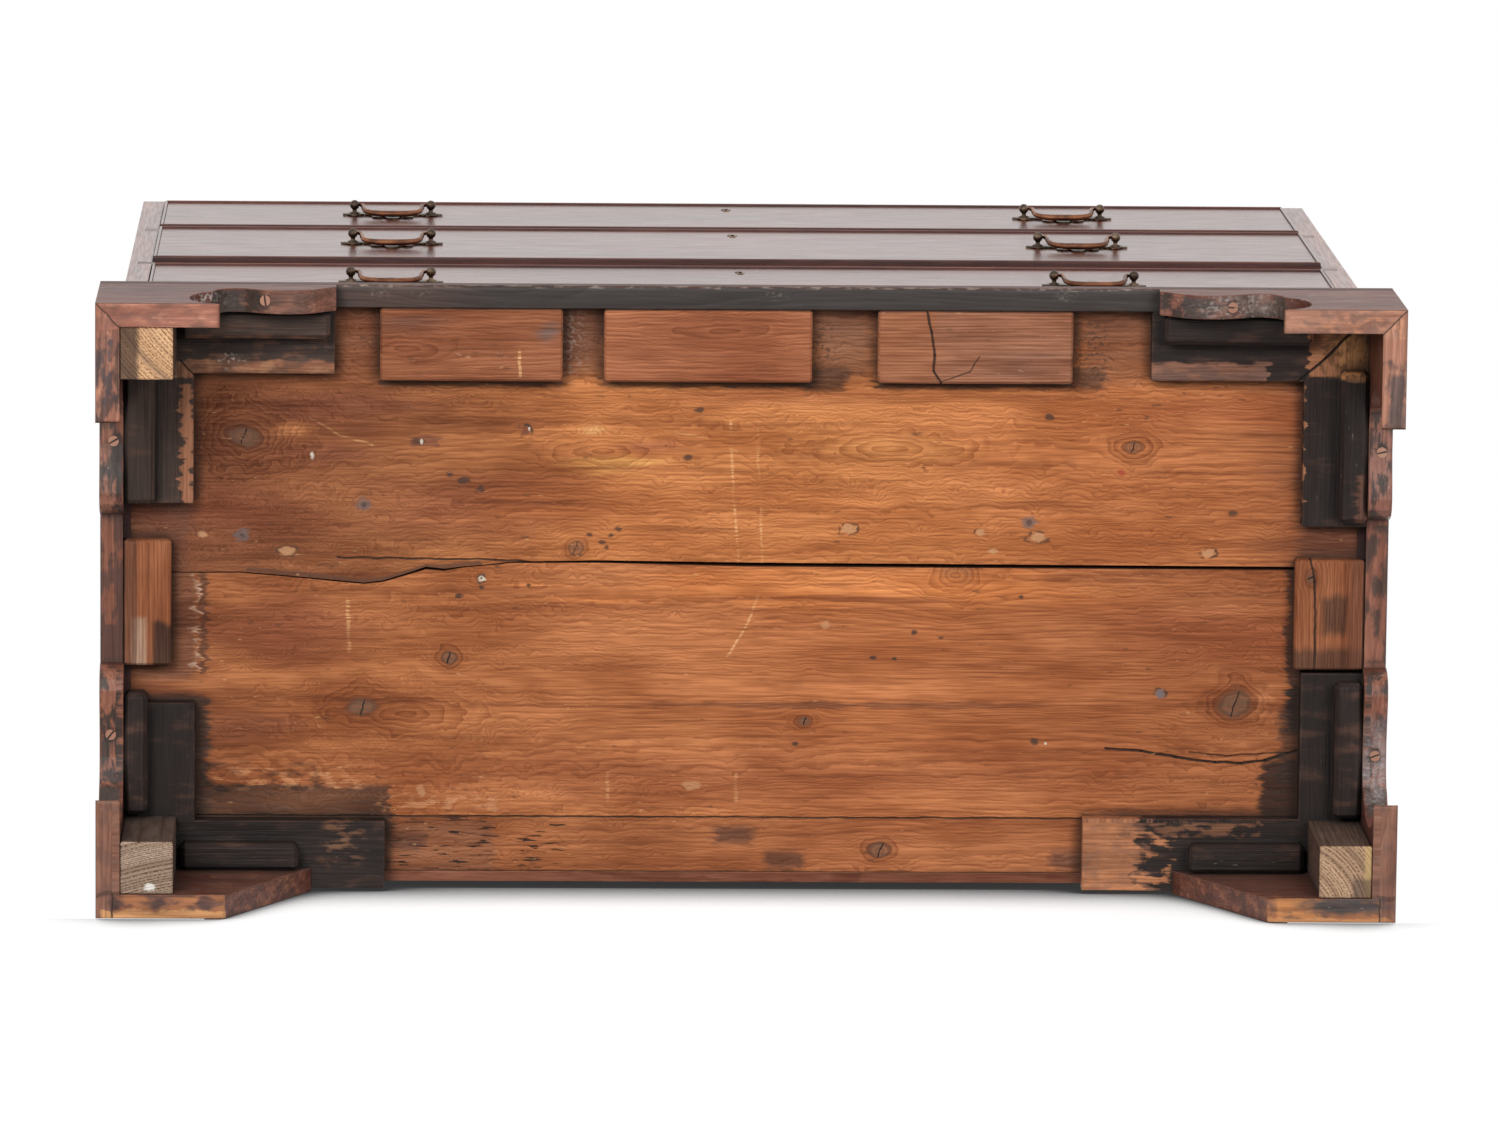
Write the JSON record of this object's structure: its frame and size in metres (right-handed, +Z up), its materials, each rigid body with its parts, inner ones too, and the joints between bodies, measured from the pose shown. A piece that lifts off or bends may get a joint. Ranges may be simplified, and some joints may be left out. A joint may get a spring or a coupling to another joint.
{
  "type": "chest on chest lower case",
  "caption": "Lower case of a mahogany chest on chest: graduated cockbeaded drawers with brass bail handles, on shaped bracket feet.",
  "frame": {"origin": "on the floor, under the middle of the feet", "axes": "+Z up, the drawers face -Y, +X to the right of someone who faces the drawers"},
  "size_m": [1.14, 0.543, 0.85],
  "materials": {
    "mahogany": "old polish, satin",
    "stained_mahogany": "dark stain, worn at the floor",
    "pine": "bare, aged orange brown",
    "oak": "bare, aged",
    "brass": "old lacquer, brown in the recesses",
    "iron": "dull, old"
  },
  "bodies": {
    "case": {"case_side_left": "mahogany", "case_side_right": "mahogany", "case_top": "mahogany", "case_back": "pine", "divider_rail_upper": "mahogany", "divider_rail_lower": "mahogany", "dustboard_upper": "pine", "dustboard_lower": "pine", "bottom_board_front": "pine", "bottom_board_rear": "pine", "base_moulding": "mahogany", "foot_front_left": "stained_mahogany", "foot_front_right": "stained_mahogany", "foot_rear_left": "stained_mahogany", "foot_rear_right": "stained_mahogany", "corner_plates_front_left": "pine", "corner_plates_front_right": "pine", "corner_plates_rear_left": "pine", "corner_plates_rear_right": "pine", "corner_post_front_left": "oak", "corner_post_rear_left": "oak", "corner_post_rear_right": "oak", "front_glue_block_left": "pine", "front_glue_block_middle": "pine", "front_glue_block_right": "pine", "side_glue_block_left": "pine", "side_glue_block_right": "pine"},
    "upper_drawer": {"upper_drawer_front": "mahogany", "upper_drawer_side_left": "oak", "upper_drawer_side_right": "oak", "upper_drawer_back": "oak", "upper_drawer_bottom": "pine", "upper_handle_left": "brass", "upper_handle_right": "brass", "upper_lock": "iron"},
    "middle_drawer": {"middle_drawer_front": "mahogany", "middle_drawer_side_left": "oak", "middle_drawer_side_right": "oak", "middle_drawer_back": "oak", "middle_drawer_bottom": "pine", "middle_handle_left": "brass", "middle_handle_right": "brass", "middle_lock": "iron"},
    "lower_drawer": {"lower_drawer_front": "mahogany", "lower_drawer_side_left": "oak", "lower_drawer_side_right": "oak", "lower_drawer_back": "oak", "lower_drawer_bottom": "pine", "lower_handle_left": "brass", "lower_handle_right": "brass", "lower_lock": "iron"},
    "upper_left_bail": {"upper_bail_left": "brass"},
    "upper_right_bail": {"upper_bail_right": "brass"},
    "middle_left_bail": {"middle_bail_left": "brass"},
    "middle_right_bail": {"middle_bail_right": "brass"},
    "lower_left_bail": {"lower_bail_left": "brass"},
    "lower_right_bail": {"lower_bail_right": "brass"},
    "upper_bolt": {"upper_lock_bolt": "iron"},
    "middle_bolt": {"middle_lock_bolt": "iron"},
    "lower_bolt": {"lower_lock_bolt": "iron"}
  },
  "joints": [
    {"name": "upper_drawer_slide", "type": "slide", "parent": "case", "child": "upper_drawer", "axis": [0, -1, 0], "range_m": [0, 0.38]},
    {"name": "middle_drawer_slide", "type": "slide", "parent": "case", "child": "middle_drawer", "axis": [0, -1, 0], "range_m": [0, 0.38]},
    {"name": "lower_drawer_slide", "type": "slide", "parent": "case", "child": "lower_drawer", "axis": [0, -1, 0], "range_m": [0, 0.38]},
    {"name": "upper_left_bail_hinge", "type": "hinge", "parent": "upper_drawer", "child": "upper_left_bail", "pos_m": [-0.315, -0.2658, 0.7353], "axis": [-1, 0, 0], "range_deg": [0, 200]},
    {"name": "upper_right_bail_hinge", "type": "hinge", "parent": "upper_drawer", "child": "upper_right_bail", "pos_m": [0.315, -0.2658, 0.7353], "axis": [-1, 0, 0], "range_deg": [0, 200]},
    {"name": "middle_left_bail_hinge", "type": "hinge", "parent": "middle_drawer", "child": "middle_left_bail", "pos_m": [-0.315, -0.2668, 0.5193], "axis": [-1, 0, 0], "range_deg": [0, 200]},
    {"name": "middle_right_bail_hinge", "type": "hinge", "parent": "middle_drawer", "child": "middle_right_bail", "pos_m": [0.315, -0.2668, 0.5193], "axis": [-1, 0, 0], "range_deg": [0, 200]},
    {"name": "lower_left_bail_hinge", "type": "hinge", "parent": "lower_drawer", "child": "lower_left_bail", "pos_m": [-0.315, -0.2633, 0.2783], "axis": [-1, 0, 0], "range_deg": [0, 200]},
    {"name": "lower_right_bail_hinge", "type": "hinge", "parent": "lower_drawer", "child": "lower_right_bail", "pos_m": [0.315, -0.2633, 0.2783], "axis": [-1, 0, 0], "range_deg": [0, 200]},
    {"name": "upper_bolt_slide", "type": "slide", "parent": "upper_drawer", "child": "upper_bolt", "axis": [0, 0, 1], "range_m": [0, 0.008]},
    {"name": "middle_bolt_slide", "type": "slide", "parent": "middle_drawer", "child": "middle_bolt", "axis": [0, 0, 1], "range_m": [0, 0.008]},
    {"name": "lower_bolt_slide", "type": "slide", "parent": "lower_drawer", "child": "lower_bolt", "axis": [0, 0, 1], "range_m": [0, 0.008]}
  ]
}
